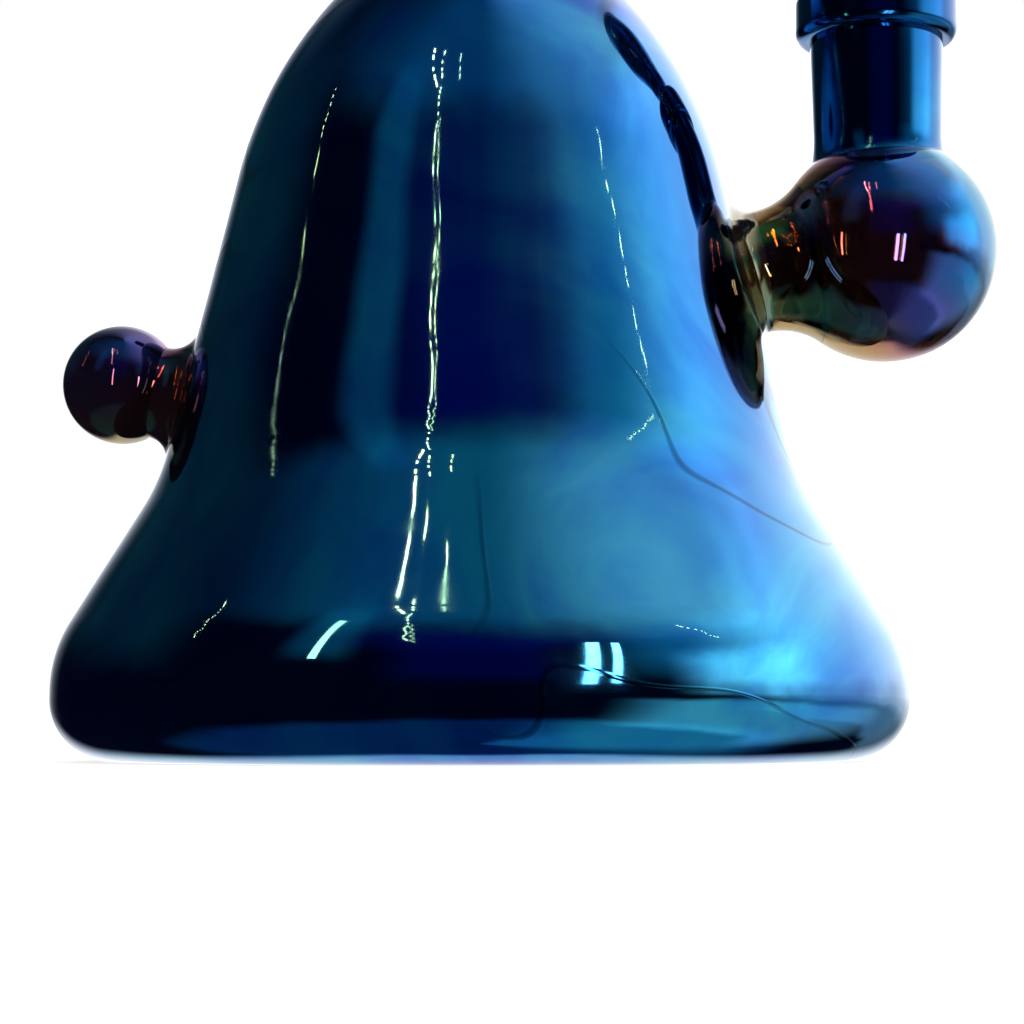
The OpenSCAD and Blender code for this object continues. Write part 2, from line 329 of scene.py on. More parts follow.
def sweep_tube(name, path, outer, bore, materials, sides=64):
    """A glass tube whose middle line lies in the XZ plane."""
    verts, faces = [], []
    count = len(path)
    for i, p in enumerate(path):
        ahead = path[min(i + 1, count - 1)] - path[max(i - 1, 0)]
        ahead.normalize()
        side = Vector((ahead.z, 0, -ahead.x))
        for radius in (outer, bore):
            for k in range(sides):
                turn = 2 * math.pi * k / sides
                verts.append(p + radius * (side * math.cos(turn) + Vector((0, 1, 0)) * math.sin(turn)))
    for i in range(count - 1):
        for k in range(sides):
            m = (k + 1) % sides
            a, b = i * 2 * sides, (i + 1) * 2 * sides
            faces.append((a + k, a + m, b + m, b + k))
            faces.append((a + sides + m, a + sides + k, b + sides + k, b + sides + m))
    for i, turned in ((0, False), (count - 1, True)):
        for k in range(sides):
            m = (k + 1) % sides
            a = i * 2 * sides
            face = (a + k, a + sides + k, a + sides + m, a + m)
            faces.append(face[::-1] if turned else face)
    return finish_mesh(name, verts, faces, materials)


def cut(piece, cutter):
    """Takes the cutter's shape out of the piece and deletes the cutter."""
    tool = piece.modifiers.new("cut", "BOOLEAN")
    tool.operation = "DIFFERENCE"
    tool.solver = "EXACT"
    tool.object = cutter
    shape = bpy.data.meshes.new_from_object(piece.evaluated_get(bpy.context.evaluated_depsgraph_get()))
    piece.modifiers.remove(tool)
    piece.data = shape
    for polygon in shape.polygons:
        polygon.use_smooth = True
    shape.set_sharp_from_angle(angle=math.radians(SHARP))
    bpy.data.objects.remove(cutter)


def part(piece, body, slot, *nodes):
    """Hides the nodes that a finished piece stands for and hangs the piece on the body it rides on. Its
    material slot is not used.
    """
    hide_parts(*nodes)
    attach(piece, body)


# ---------------------------------------------------------------- materials
GLASS_IOR = 1.5
RIPPLE_HEIGHT = 2e-5        # metres
FADE_LOW = 55               # the lustre darkens between these two heights
FADE_HIGH = 120


def new_material(name):
    """A new material, its node tree and its shader."""
    material = bpy.data.materials.new(name)
    material.use_nodes = True
    return material, material.node_tree, material.node_tree.nodes["Principled BSDF"]


def add(tree, kind, **values):
    """A new node, with values for its sockets or its settings."""
    node = tree.nodes.new(kind)
    for key, value in values.items():
        if key in node.inputs:
            node.inputs[key].default_value = value
        else:
            setattr(node, key, value)
    return node


def ramp(tree, factor, stops):
    """Colours along factor. Each stop is a position and a colour."""
    node = tree.nodes.new("ShaderNodeValToRGB")
    tree.links.new(factor, node.inputs["Fac"])
    band = node.color_ramp
    band.elements[0].position, band.elements[1].position = stops[0][0], stops[-1][0]
    band.elements[0].color, band.elements[1].color = (*stops[0][1], 1), (*stops[-1][1], 1)
    for position, colour in stops[1:-1]:
        band.elements.new(position).color = (*colour, 1)
    return node.outputs["Color"]


def glass_noise(tree, scale, detail=2.0, distortion=0.0):
    """Noise in the object's own coordinates, so that it stays put on the glass."""
    spot = tree.nodes.new("ShaderNodeTexCoord")
    cloud = add(tree, "ShaderNodeTexNoise", Scale=scale, Detail=detail, Distortion=distortion)
    tree.links.new(spot.outputs["Object"], cloud.inputs["Vector"])
    return cloud.outputs["Fac"]


def maths(tree, operation, *values):
    """One step of arithmetic on numbers or sockets."""
    node = tree.nodes.new("ShaderNodeMath")
    node.operation = operation
    for i, value in enumerate(values):
        if isinstance(value, (int, float)):
            node.inputs[i].default_value = value
        else:
            tree.links.new(value, node.inputs[i])
    return node.outputs[0]


def spread(tree, value, start, end, low=0.0, high=1.0, kind="LINEAR"):
    """From low, where value is start or less, to high, where it is end or more."""
    node = add(tree, "ShaderNodeMapRange", interpolation_type=kind)
    for socket, bound in (("From Min", start), ("From Max", end), ("To Min", low), ("To Max", high)):
        node.inputs[socket].default_value = bound
    tree.links.new(value, node.inputs["Value"])
    return node.outputs["Result"]


def smooth(tree, value, start, end):
    """0 before start and 1 after end, smoothly."""
    return spread(tree, value, start, end, kind="SMOOTHSTEP")


def scaled(tree, vector, factor):
    """A colour made stronger or weaker. vector is a socket or three numbers."""
    node = add(tree, "ShaderNodeVectorMath", operation="SCALE")
    if isinstance(vector, tuple):
        node.inputs[0].default_value = vector
    else:
        tree.links.new(vector, node.inputs[0])
    tree.links.new(factor, node.inputs["Scale"])
    return node.outputs["Vector"]


def wandering_lines(tree):
    """Thin wandering lines, here and there."""
    path = maths(tree, "ABSOLUTE", maths(tree, "SUBTRACT", glass_noise(tree, 30.0, 0.0, 0.6), 0.5))
    here = smooth(tree, glass_noise(tree, 19.0, 0.0), 0.44, 0.54)
    return maths(tree, "MULTIPLY", smooth(tree, path, 0.013, 0.002), here)


def add_wandering_lines(tree, shader, relief, depth):
    """Puts the wandering lines into the relief, and darkens the colour along them by half."""
    marks = wandering_lines(tree)
    shade = maths(tree, "SUBTRACT", 1.0, maths(tree, "MULTIPLY", marks, 0.5))
    colour = shader.inputs["Base Color"].links[0].from_socket
    tree.links.new(scaled(tree, colour, shade), shader.inputs["Base Color"])
    return maths(tree, "ADD", relief, maths(tree, "MULTIPLY", marks, depth))


def uneven_surface(tree, shader, low, high, height, marks_depth=0):
    """Roughness that comes and goes like handling marks, and a shallow ripple."""
    handling = glass_noise(tree, 55.0, detail=5.0, distortion=0.6)
    rough = spread(tree, handling, 0.45, 0.75, low, high)
    tree.links.new(rough, shader.inputs["Roughness"])
    relief = glass_noise(tree, 160.0, detail=1.0)
    if marks_depth:
        relief = add_wandering_lines(tree, shader, relief, marks_depth)
    bump = add(tree, "ShaderNodeBump", Strength=1.0, Distance=height)
    tree.links.new(relief, bump.inputs["Height"])
    tree.links.new(bump.outputs["Normal"], shader.inputs["Normal"])


def lustre_material(name, stops, metallic=1.0, low=0.03, high=0.10, scale=26.0, marks_depth=0, fade=0):
    """Opaque glass under a metal lustre, white at a glance. With fade, its clouds get darker upwards."""
    material, tree, shader = new_material(name)
    cloud = glass_noise(tree, scale, 5.0, 1.6)
    if fade:
        spot = tree.nodes.new("ShaderNodeTexCoord")
        axes = tree.nodes.new("ShaderNodeSeparateXYZ")
        tree.links.new(spot.outputs["Object"], axes.inputs["Vector"])
        upwards = smooth(tree, axes.outputs["Z"], FADE_LOW * MM, FADE_HIGH * MM)
        cloud = maths(tree, "SUBTRACT", cloud, maths(tree, "MULTIPLY", upwards, fade))
    tree.links.new(ramp(tree, cloud, stops), shader.inputs["Base Color"])
    shader.inputs["Metallic"].default_value = metallic
    shader.inputs["IOR"].default_value = GLASS_IOR
    uneven_surface(tree, shader, low, high, RIPPLE_HEIGHT, marks_depth)
    return material


def film_thickness(tree, shader, film, centre, lean, size):
    """A metal film that thickens along lean, across size to each side of centre, with clouds in it.
    film gives its least and its most thickness in nanometres."""
    spot = tree.nodes.new("ShaderNodeTexCoord")
    slope = add(tree, "ShaderNodeVectorMath", operation="DOT_PRODUCT")
    tree.links.new(spot.outputs["Object"], slope.inputs[0])
    slope.inputs[1].default_value = Vector(lean).normalized() / (size * MM)
    cloud_size = 1.3
    cloud = maths(tree, "MULTIPLY", glass_noise(tree, 60.0, 1.0, 0.8), cloud_size)
    total = maths(tree, "ADD", slope.outputs["Value"], cloud)
    middle = Vector(centre).dot(Vector(lean).normalized()) / size + cloud_size / 2
    thick = spread(tree, total, middle - 1.0, middle + 1.0, *film)
    tree.links.new(thick, shader.inputs["Thin Film Thickness"])


def clear_material(name, stops, scale=45.0, low=0.0, high=0.06, height=1.5e-5, clear=1.0):
    """See-through glass. With clear below 1 it is partly or wholly opaque."""
    material, tree, shader = new_material(name)
    tree.links.new(ramp(tree, glass_noise(tree, scale, 2.0, 0.8), stops), shader.inputs["Base Color"])
    shader.inputs["Transmission Weight"].default_value = clear
    shader.inputs["IOR"].default_value = GLASS_IOR
    uneven_surface(tree, shader, low, high, height)
    return material


def film_material(name, stops, film, film_ior, centre, lean, size, clear=1.0, scale=45.0):
    """Glass whose thin metal film gives it its colours."""
    material = clear_material(name, stops, scale=scale, clear=clear)
    tree = material.node_tree
    shader = tree.nodes["Principled BSDF"]
    film_thickness(tree, shader, film, centre, lean, size)
    shader.inputs["Thin Film IOR"].default_value = film_ior
    return material


LUSTRE = lustre_material(
    "lustre_glass",
    (
        (0.26, (0.010, 0.075, 0.34)),
        (0.45, (0.026, 0.17, 0.40)),
        (0.58, (0.04, 0.24, 0.42)),
        (0.75, (0.02, 0.14, 0.42)),
    ),
    marks_depth=0.8,
    fade=0.10,
)
SOCKET_BLUE = lustre_material(
    "socket_glass",
    ((0.3, (0.007, 0.055, 0.20)), (0.55, (0.010, 0.10, 0.27)), (0.75, (0.02, 0.15, 0.33))),
    low=0.10,
    high=0.20,
)
DARK_INSIDE = lustre_material(
    "bell_inside",
    ((0.3, (0.010, 0.020, 0.045)), (0.7, (0.02, 0.05, 0.09))),
    metallic=0.6,
    low=0.08,
    high=0.2,
)
SMOKY = film_material(
    "smoky_glass",
    ((0.30, (0.060, 0.014, 0.008)), (0.5, (0.060, 0.034, 0.008)), (0.7, (0.045, 0.010, 0.008))),
    film=(97, 145),
    film_ior=2.4,
    centre=BULB_C - Vector((0, 0, 1)),
    lean=(1.0, 0, 0.6),
    size=BULB_R * 0.8,
)
WELD_DARK = film_material(
    "weld_glass",
    ((0.3, (0.010, 0.003, 0.002)), (0.6, (0.022, 0.012, 0.003)), (0.8, (0.03, 0.008, 0.004))),
    film=(80, 120),
    film_ior=2.0,
    centre=BULB_C,
    lean=(0.2, 0, 1.0),
    size=BULB_R,
    clear=0.0,
)
KNOB_DARK = film_material(
    "knob_glass",
    ((0.3, (0.004, 0.003, 0.008)), (0.7, (0.012, 0.004, 0.004))),
    film=(100, 150),
    film_ior=2.2,
    centre=KNOB_C,
    lean=(-0.3, 0, 1.0),
    size=KNOB_R,
    clear=0.0,
    scale=70.0,
)
CLEAR = clear_material("inner_glass", ((0.3, (0.72, 0.66, 0.52)), (0.7, (0.80, 0.76, 0.64))))
FROSTED = clear_material(
    "ground_glass",
    ((0.3, (0.62, 0.66, 0.70)), (0.7, (0.75, 0.78, 0.80))),
    low=0.38,
    high=0.52,
    height=6e-5,
    clear=0.55,
)
BOWL_BLUE = lustre_material(
    "bowl_glass",
    ((0.3, (0.01, 0.06, 0.26)), (0.55, (0.03, 0.15, 0.38)), (0.75, (0.05, 0.11, 0.34))),
    metallic=0.9,
    scale=60.0,
)


# ---------------------------------------------------------------- bell, base and neck
def make_bell():
    """The blown shell, open below where the base closes it."""
    inner = bell_outline(WALL)
    piece = lathe("bell_shell", OUTLINE + inner[::-1], [LUSTRE, DARK_INSIDE], sides=256,
                  inner_from=len(OUTLINE) - 1, uneven=0.15)
    part(piece, "vessel", "lustre_glass", "bell_body")


def make_base():
    """The flat plate under the bell. It stands on a ring, and its middle is a little hollow below."""
    hollow = 0.5
    sag = 0.1
    under = [Vector((0, hollow)), Vector((BASE_R * 0.82, hollow)), Vector((BASE_R * 0.88, hollow * 0.4)),
             Vector((BASE_R * 0.92, 0)), Vector((BASE_R, 0))]
    over = [Vector((BASE_R, WALL)), Vector((BASE_R * 0.6, WALL - sag)), Vector((0, WALL))]
    piece = lathe("base_plate", under + over, [LUSTRE, DARK_INSIDE], inner_from=len(under))
    part(piece, "vessel", "lustre_glass", "base_disc")


def make_collar():
    """The raised ring between bell and neck, with a soft root on each side."""
    low = STUB_TOP
    high = NECK_LOW
    middle = (low + high) / 2
    root = 0.9
    bead = (high - low) / 2 - root
    out = COLLAR_R - NECK_R
    outer = arc(Vector((NECK_R + root, low)), root, 180, 90, 12)
    ring = []
    for angle in range(-84, 85, 6):
        edge = ray(angle)
        ring.append(Vector((NECK_R + root + (out - root) * edge.x, middle + bead * edge.y)))
    upper = arc(Vector((NECK_R + root, high)), root, -90, -180, 12)
    inner = line(Vector((NECK_R - WALL, high)), Vector((NECK_R - WALL, low)), 2)
    piece = lathe("neck_ring", outer + ring + upper + inner, [LUSTRE, DARK_INSIDE],
                  inner_from=len(outer + ring + upper))
    part(piece, "vessel", "lustre_glass", "neck_collar")


def make_neck():
    """The straight neck."""
    outer = line(Vector((NECK_R, NECK_LOW)), Vector((NECK_R, NECK_TOP)), 1.5)
    inner = line(Vector((NECK_R - WALL, NECK_TOP)), Vector((NECK_R - WALL, NECK_LOW)), 1.5)
    piece = lathe("neck_pipe", outer + inner, [LUSTRE, DARK_INSIDE], inner_from=len(outer), uneven=0.05)
    part(piece, "vessel", "lustre_glass", "neck_tube")


def make_mouth():
    """The rolled rim: the wall thickens into a bead that leans outwards."""
    bore = NECK_R - WALL
    bead = (RIM_R - bore) / 2
    centre = Vector((bore + bead, RIM_TOP - bead))
    root = 1.6
    rise = centre.y - NECK_TOP
    meeting = (NECK_R + root - centre.x) / (bead + root)
    start_angle = -math.degrees(math.acos(min(1.0, max(-1.0, meeting))))
    outer = [Vector((NECK_R, NECK_TOP)), Vector((NECK_R, NECK_TOP + rise * 0.15))]
    outer += arc(centre, bead, start_angle, 180, 5)
    inner = [Vector((bore, NECK_TOP + rise * 0.6)), Vector((bore, NECK_TOP))]
    piece = lathe("mouth_lip", outer + inner, [LUSTRE, DARK_INSIDE], inner_from=len(outer) - 1)
    part(piece, "vessel", "lustre_glass", "mouth_rim")


# ---------------------------------------------------------------- side arm
# Measures along the arm start at the bulb's centre.
ARM_AXIS = lean_axis(1, ARM_LEAN)
ARM_WALL = depth_to(inside_bell, BULB_C, -ARM_AXIS)
ARM_FOOT_H = 2.2
ARM_WAIST = ARM_WALL - ARM_FOOT_H
ARM_FILLET = (ARM_WAIST ** 2 + ARM_R ** 2 - BULB_R ** 2) / (2 * (BULB_R - ARM_R))
SEAM_TURN = math.degrees(math.atan2(ARM_WAIST, ARM_R + ARM_FILLET))
SEAM_GAP = 0.03


def make_arm():
    """The dark weld on the bell, the short pipe that widens to the bulb, and the bulb with its hole."""
    reach = 3.8
    foot = fused_foot("arm_weld", BULB_C, ARM_AXIS, ARM_R, ARM_WAIST, reach,
                      ARM_BORE, inside_bell, [WELD_DARK])
    part(foot, "vessel", "smoky_glass", "arm_foot")

    centre = Vector((ARM_R + ARM_FILLET, -ARM_WAIST))
    outer = [Vector((ARM_R, -ARM_WAIST + SEAM_GAP))] + arc(centre, ARM_FILLET, 178, 180 - SEAM_TURN, 3)
    seam = outer[-1]
    inner_r = BULB_R - BULB_WALL
    inner_end = Vector((math.sqrt(inner_r ** 2 - seam.y ** 2), seam.y))
    inner = [inner_end, inner_end.lerp(Vector((ARM_BORE, -ARM_WAIST)), 0.35) + Vector((-0.3, 0)),
             Vector((ARM_BORE, -ARM_WAIST + 1.5)), Vector((ARM_BORE, -ARM_WAIST + SEAM_GAP))]
    neck = lathe("arm_pipe", outer + inner, [SMOKY], axis_place(BULB_C, ARM_AXIS), sides=144)
    part(neck, "vessel", "smoky_glass", "arm_neck")

    start = -SEAM_TURN + 0.2
    inner_start = -math.degrees(math.asin(BULB_R * math.sin(math.radians(SEAM_TURN)) / inner_r)) + 0.3
    shell = arc(Vector((0, 0)), BULB_R, start, 90, 2) + arc(Vector((0, 0)), inner_r, 90, inner_start, 2)
    bulb = lathe("bulb", on_axis(shell), [SMOKY], axis_place(BULB_C, ARM_AXIS))
    hole_r = SOCKET_R - 0.45
    hole_h = BULB_R * 1.4
    hole = [Vector((0, 0)), Vector((hole_r, 0)), Vector((hole_r, hole_h)), Vector((0, hole_h))]
    cutter = lathe("hole", hole, [SMOKY], Matrix.Translation(Vector((SOCKET_X, 0, BULB_C.z))))
    cut(bulb, cutter)
    part(bulb, "vessel", "smoky_glass", "arm_bulb")


# ---------------------------------------------------------------- ground joint
TAPER_L = 20            # the ground length of a 14 mm joint, which narrows by 1 in 10 of this across
TAPER_MOUTH_R = 7.25
TAPER_END_R = TAPER_MOUTH_R - TAPER_L / 20
SOCKET_PLACE = Matrix.Translation(Vector((SOCKET_X, 0, 0)))


def make_socket():
    """The upright tube with its ground taper inside, a little slimmer towards the bulb."""
    top = SOCKET_HIGH.z
    low = SOCKET_LOW.z
    edge = 0.6
    bevel = 0.8
    bevel_l = bevel * 2
    slim = 0.4
    slim_l = 16
    taper_top = top - bevel_l
    taper_low = taper_top - TAPER_L
    outer = line(Vector((SOCKET_R - slim, low)), Vector((SOCKET_R, low + slim_l)), 1.5)
    outer += line(Vector((SOCKET_R, low + slim_l + 0.5)), Vector((SOCKET_R, top - edge)), 1.5)
    outer += arc(Vector((SOCKET_R - edge, top - edge)), edge, 0, 90, 15)[1:]
    inner = arc(Vector((TAPER_MOUTH_R + bevel, taper_top)), bevel, 90, 180, 15)
    inner = [Vector((p.x, taper_top + (p.y - taper_top) * 2)) for p in inner]
    inner += line(Vector((TAPER_MOUTH_R, taper_top - 0.2)), Vector((TAPER_END_R, taper_low)), 1.5)
    inner += [Vector((TAPER_END_R, low))]
    tube = lathe("socket_pipe", outer + inner, [SOCKET_BLUE, FROSTED], SOCKET_PLACE,
                 inner_from=len(outer), uneven=0.03)
    part(tube, "vessel", "socket_glass", "socket_tube")
    make_socket_weld(low + 4.6)
    make_socket_lip()


def make_socket_weld(height):
    """The narrow ring of melted glass round the tube's foot, from this height down to the bulb."""
    centre = Vector((SOCKET_X, 0, height))
    reach = 0.7
    weld = fused_foot("socket_weld", centre, Vector((0, 0, 1)), SOCKET_R - 0.28, 0, reach,
                      SOCKET_R - 0.6, inside_bulb, [SOCKET_BLUE])
    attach(weld, "vessel")


def make_socket_lip():
    """The tall rolled collar, rounder above than below."""
    under = 1.6
    over = 2.05
    inner_r = SOCKET_R - 0.02
    low = LIP_LOW.z
    top = LIP_HIGH.z
    lip = [Vector((inner_r, low))] + arc(Vector((LIP_R - under, low + under)), under, -90, 0, 6)
    lip += line(Vector((LIP_R, low + under + 0.4)), Vector((LIP_R, top - over - 0.4)), 0.8)
    lip += arc(Vector((LIP_R - over, top - over)), over, 0, 90, 5)
    lip += [Vector((SOCKET_R - 0.55, top)), Vector((inner_r, top - 0.6))]
    collar = lathe("socket_lip", lip, [SOCKET_BLUE], SOCKET_PLACE, uneven=0.06, size=9)
    part(collar, "vessel", "socket_glass", "socket_rim")


# ---------------------------------------------------------------- water stem
def make_stem():
    """The tube inside the bell: straight up from the diffuser, then bent over to the arm."""
    bend_r = 14
    bend_steps = 24
    wall = 1.8
    in_weld = 1.4               # how far the tube reaches into the arm's weld
    bend_turn = 90 - ARM_LEAN
    corner_z = BULB_C.z - BULB_C.x * math.tan(math.radians(ARM_LEAN))
    run = bend_r * math.tan(math.radians(bend_turn / 2))
    bend_z = corner_z - run
    path = [Vector((0, 0, z)) for z in (STEM_LOW.z, STEM_LOW.z + 8, STEM_LOW.z + 16, bend_z - 1)]
    for i in range(bend_steps + 1):
        spot = Vector((bend_r, bend_z)) + bend_r * ray(180 - bend_turn * i / bend_steps)
        path.append(Vector((spot.x, 0, spot.y)))
    end = BULB_C - ARM_AXIS * (ARM_WALL - in_weld)
    path += [path[-1].lerp(end, t) for t in (0.05, 0.35, 0.7, 1.0)]
    stem = sweep_tube("stem_pipe", path, STEM_R, STEM_R - wall, [CLEAR])
    part(stem, "vessel", "inner_glass", "down_stem")
    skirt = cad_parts["diffuser"]
    skirt.data.materials.clear()
    skirt.data.materials.append(CLEAR)


# ---------------------------------------------------------------- knob
def make_knob():
    """The solid ball and its melted foot."""
    axis = lean_axis(-1, KNOB_LEAN)
    neck_r = math.sqrt(KNOB_R ** 2 - KNOB_SEAM ** 2)
    reach = 4.6
    foot = fused_foot("knob_weld", KNOB_C, axis, neck_r - 0.12, KNOB_SEAM + 0.02, reach,
                      0, inside_bell, [KNOB_DARK])
    part(foot, "vessel", "knob_glass", "knob_foot")
    seam_turn = math.degrees(math.asin(KNOB_SEAM / KNOB_R))
    edge = arc(Vector((0, 0)), KNOB_R, -seam_turn, 90, 2)
    outline = [Vector((0, -KNOB_SEAM)), Vector((neck_r - 0.25, -KNOB_SEAM))] + edge
    ball = lathe("knob_marble", on_axis(outline), [KNOB_DARK], axis_place(KNOB_C, axis), sides=144)
    part(ball, "vessel", "knob_glass", "knob_ball")


# ---------------------------------------------------------------- lift-out bowl
AIRWAY_R = 4.2
DRAW_HOLE_R = 2.2
PLUG_R = 7.2
CUP_FOOT_R = 6.6
CUP_R = CUP_HIGH.x - SOCKET_X
CUP_WALL = 2.2


def make_plug():
    """The ground cone that sits in the socket, with a short straight top."""
    tip_r = 6.15
    chamfer = 0.4
    straight = 2.6
    low = PLUG_LOW.z
    high = PLUG_HIGH.z
    outer = [Vector((tip_r - chamfer, low)), Vector((tip_r, low + chamfer))]
    outer += line(Vector((tip_r + 0.02, low + 1)), Vector((PLUG_R, high - straight)), 1.5)
    outer += [Vector((PLUG_R, high))]
    inner = [Vector((AIRWAY_R, high)), Vector((AIRWAY_R, low))]
    plug = lathe("bowl_ground_plug", outer + inner, [FROSTED], SOCKET_PLACE)
    part(plug, "bowl", "ground_glass", "bowl_plug")


def make_waist():
    """The slim waist, which widens to the plug below and to the cup above."""
    slim_r = 5.7
    steps = 28
    low = WAIST_LOW.z
    high = WAIST_HIGH.z
    outer = []
    for i in range(steps + 1):
        t = i / steps
        end_r = PLUG_R if t < 0.5 else CUP_FOOT_R
        radius = slim_r + (end_r - slim_r) * math.cos(math.pi * t) ** 2
        outer.append(Vector((radius, low + (high - low) * t)))
    inner = [Vector((DRAW_HOLE_R, high)), Vector((DRAW_HOLE_R, high - 2.5))]
    waist = lathe("bowl_waist", [Vector((AIRWAY_R, low))] + outer + inner, [BOWL_BLUE], SOCKET_PLACE)
    part(waist, "bowl", "bowl_glass", "bowl_neck")


def cup_point(t, inset):
    """The cup's side at share t of its height: a funnel that closes in a little at the top."""
    widest = 0.66
    closing = 1.3
    floor_h = 3 if inset else 0
    swell = (1 - math.cos(min(t / widest, 1) * math.pi)) / 2
    close = (max(t - widest, 0) / (1 - widest)) ** 2
    radius = CUP_FOOT_R + (CUP_R - CUP_FOOT_R) * swell - closing * close - inset
    return Vector((radius, CUP_LOW.z + max((CUP_HIGH.z - CUP_LOW.z) * t, floor_h)))


def make_cup():
    """The cup and its rolled lip."""
    steps = 40
    first_inner = 8             # the side's inner face starts at this step
    hole_floor = 2.2            # the floor's thickness at the draw hole
    low = CUP_LOW.z
    outer = [Vector((DRAW_HOLE_R, low))] + [cup_point(i / steps, 0) for i in range(steps + 1)]
    inner = [cup_point(i / steps, CUP_WALL) for i in range(steps, first_inner - 1, -1)]
    inner += [Vector((DRAW_HOLE_R, low + hole_floor))]
    cup = lathe("bowl_cup_wall", outer + inner, [BOWL_BLUE], SOCKET_PLACE, uneven=0.06, size=12)
    part(cup, "bowl", "bowl_glass", "bowl_cup")

    ring = arc(cup_point(1, CUP_WALL / 2), CUP_WALL / 2 + 0.35, 0, 180, 10)
    rim = lathe("bowl_lip", ring, [BOWL_BLUE], SOCKET_PLACE)
    part(rim, "bowl", "bowl_glass", "bowl_rim")


make_bell()
make_base()
make_collar()
make_neck()
make_mouth()
make_arm()
make_socket()
make_stem()
make_knob()
make_plug()
make_waist()
make_cup()


# ---------------------------------------------------------------- surroundings
def make_world():
    """A studio that only the glass sees: bright windows on the right, a dark room on the left.
    The camera itself sees plain white."""
    world = bpy.data.worlds.new("studio")
    bpy.context.scene.world = world
    world.use_nodes = True
    tree = world.node_tree
    spot = tree.nodes.new("ShaderNodeTexCoord")
    axes = tree.nodes.new("ShaderNodeSeparateXYZ")
    tree.links.new(spot.outputs["Generated"], axes.inputs["Vector"])
    x, y, z = axes.outputs
    # turn: 0 towards the camera, 90 to the right, 180 behind the object. rise: 90 overhead.
    degrees = 180 / math.pi
    turn = maths(tree, "ARCTAN2", x, maths(tree, "MULTIPLY", y, -1.0))
    turn = maths(tree, "MULTIPLY", turn, degrees)
    wobble = add(tree, "ShaderNodeTexNoise", Scale=3.0, Detail=3.0)
    tree.links.new(spot.outputs["Generated"], wobble.inputs["Vector"])
    wobble_size = 12.0          # degrees
    drift = maths(tree, "MULTIPLY", maths(tree, "SUBTRACT", wobble.outputs["Fac"], 0.5), wobble_size)
    rise = maths(tree, "ADD", maths(tree, "MULTIPLY", maths(tree, "ARCSINE", z), degrees), drift)

    def patch(centre, half, soft, low, high, soft_rise, colour, strength):
        """A soft-edged panel of light round centre and from low to high, in degrees."""
        off = maths(tree, "WRAP", maths(tree, "SUBTRACT", turn, centre), 180.0, -180.0)
        across = smooth(tree, maths(tree, "ABSOLUTE", off), half + soft, half - soft)
        above = smooth(tree, rise, low - soft_rise, low + soft_rise)
        below = smooth(tree, rise, high + soft_rise, high - soft_rise)
        amount = maths(tree, "MULTIPLY", across, above)
        amount = maths(tree, "MULTIPLY", amount, maths(tree, "MULTIPLY", below, strength))
        return scaled(tree, colour, amount)

    white = (1.0, 1.0, 1.0)
    teal = (0.1, 0.9, 1.0)
    panels = (
        patch(0, 181, 1, -91, 91, 1, (0.2, 0.3, 1.0), 0.015),       # the dark room itself
        patch(118, 66, 54, 42, 91, 12, white, 1.30),                # ceiling, bright over the windows
        patch(14, 60, 50, 45, 91, 10, teal, 0.28),                  # ceiling over the camera
        patch(-70, 45, 30, 48, 91, 12, teal, 0.12),                 # ceiling on the left
        patch(15, 55, 25, 30, 42, 6, (0.0, 0.1, 1.0), 0.09),        # top of the front wall
        patch(0, 20, 10, 8, 34, 8, (0.0, 0.03, 1.0), 0.07),         # dusk on the front wall
        patch(74, 30, 20, 12, 44, 10, (0.15, 0.85, 1.0), 0.55),     # wall beside the windows
        patch(77, 20, 8, 2, 21, 6, (0.9, 1.1, 1.0), 1.7),           # brightest window
        patch(134, 54, 26, -1, 44, 8, white, 2.10),                 # window wall
        patch(180, 13, 4, -6, 24, 6, white, 1.1),                   # white wall behind
        patch(-44, 9, 5, 22, 56, 8, teal, 0.15),                    # door on the left
        patch(-125, 30, 16, 14, 44, 10, (0.1, 0.9, 0.9), 0.05),     # wall on the left
        patch(-170, 8, 8, -4, 24, 4, white, 0.30),                  # corner behind on the left
        patch(86, 40, 14, -50, -9, 4, (0.7, 1.1, 1.0), 0.85),       # table under the windows
        patch(118, 36, 16, -22, -2, 2, (0.5, 0.9, 1.0), 0.45),      # its far end
        patch(0, 181, 1, -91, -44, 7, (0.05, 0.45, 1.0), 0.15),     # table close by
        patch(85, 55, 24, -91, -46, 8, (0.3, 1.0, 1.0), 0.45),      # table close by, on the right
        patch(180, 20, 8, -60, -5, 5, white, 1.2),                  # table behind
    )
    total = panels[0]
    for panel in panels[1:]:
        node = tree.nodes.new("ShaderNodeVectorMath")
        tree.links.new(total, node.inputs[0])
        tree.links.new(panel, node.inputs[1])
        total = node.outputs["Vector"]
    path = tree.nodes.new("ShaderNodeLightPath")
    mix = tree.nodes.new("ShaderNodeMix")
    mix.data_type = "VECTOR"
    tree.links.new(path.outputs["Is Camera Ray"], mix.inputs["Factor"])
    tree.links.new(total, mix.inputs[4])
    mix.inputs[5].default_value = white
    tree.links.new(mix.outputs[1], tree.nodes["Background"].inputs["Color"])


def make_floor():
    """A plain pale floor that glows a little. The glass neither mirrors it nor shows it through."""
    material, tree, shader = new_material("pale_floor")
    tints = ((0.3, (0.93, 0.93, 0.93)), (0.7, (0.96, 0.96, 0.96)))
    tree.links.new(ramp(tree, glass_noise(tree, 8.0), tints), shader.inputs["Base Color"])
    shader.inputs["Roughness"].default_value = 0.7
    shader.inputs["Emission Color"].default_value = (1, 1, 1, 1)
    shader.inputs["Emission Strength"].default_value = 0.8
    half = 3000
    under = -0.05
    corners = [(-half, -half, under), (half, -half, under), (half, half, under), (-half, half, under)]
    floor = finish_mesh("floor", corners, [(0, 1, 2, 3)], [material])
    floor.visible_glossy = False
    floor.visible_transmission = False


